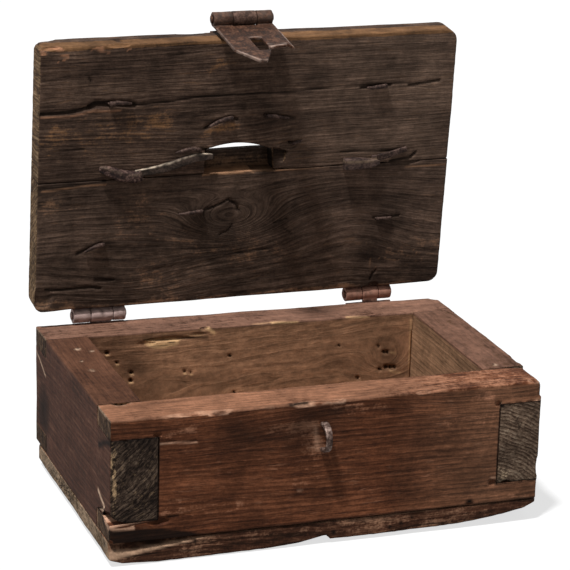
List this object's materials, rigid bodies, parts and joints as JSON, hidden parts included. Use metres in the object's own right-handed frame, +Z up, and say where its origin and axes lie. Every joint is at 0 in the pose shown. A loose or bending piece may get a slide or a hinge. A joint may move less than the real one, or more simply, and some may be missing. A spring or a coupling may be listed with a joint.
{
  "type": "offering box",
  "caption": "Small old wooden offering box with thick boards, a hinged plank lid with a coin slot, and a hasp that drops over a staple for a padlock.",
  "frame": {"origin": "centre of the underside of the bottom board, on the surface the box stands on", "axes": "+X to the right seen from the front, +Y to the back, +Z up"},
  "size_m": [0.303, 0.224, 0.3212],
  "materials": {
    "wood_red": "old worn wood with a red-brown stain",
    "wood_brown": "old dusty wood",
    "wood_dark": "very dark old wood, dry and cracked",
    "iron": "hand-forged iron with old rust"
  },
  "bodies": {
    "box": {"bottom_board": "wood_brown", "front_board": "wood_red", "back_board": "wood_red", "left_board": "wood_dark", "right_board": "wood_brown", "bottom_nails": "iron", "corner_nails": "iron", "staple": "iron", "left_hinge_leaf": "iron", "right_hinge_leaf": "iron", "leaf_nails": "iron", "left_hinge_pin": "iron", "right_hinge_pin": "iron"},
    "lid": {"lid_rear_plank": "wood_dark", "lid_front_plank": "wood_dark", "left_hinge_strap": "iron", "right_hinge_strap": "iron", "left_strap_nails": "iron", "right_strap_nails": "iron", "left_split_pin": "iron", "right_split_pin": "iron", "lid_nails": "iron", "hasp_strap": "iron", "hasp_strap_nails": "iron", "hasp_pin": "iron"},
    "hasp": {"hasp_plate": "iron"}
  },
  "joints": [
    {"name": "lid_hinge", "type": "hinge", "parent": "box", "child": "lid", "pos_m": [0, 0.1002, 0.1068], "axis": [-1, 0, 0], "range_deg": [-84.8, 100.2]},
    {"name": "hasp_hinge", "type": "hinge", "parent": "lid", "child": "hasp", "pos_m": [-0.0055, 0.09291, 0.316], "axis": [-1, 0, 0], "range_deg": [-2.5, 245]}
  ]
}
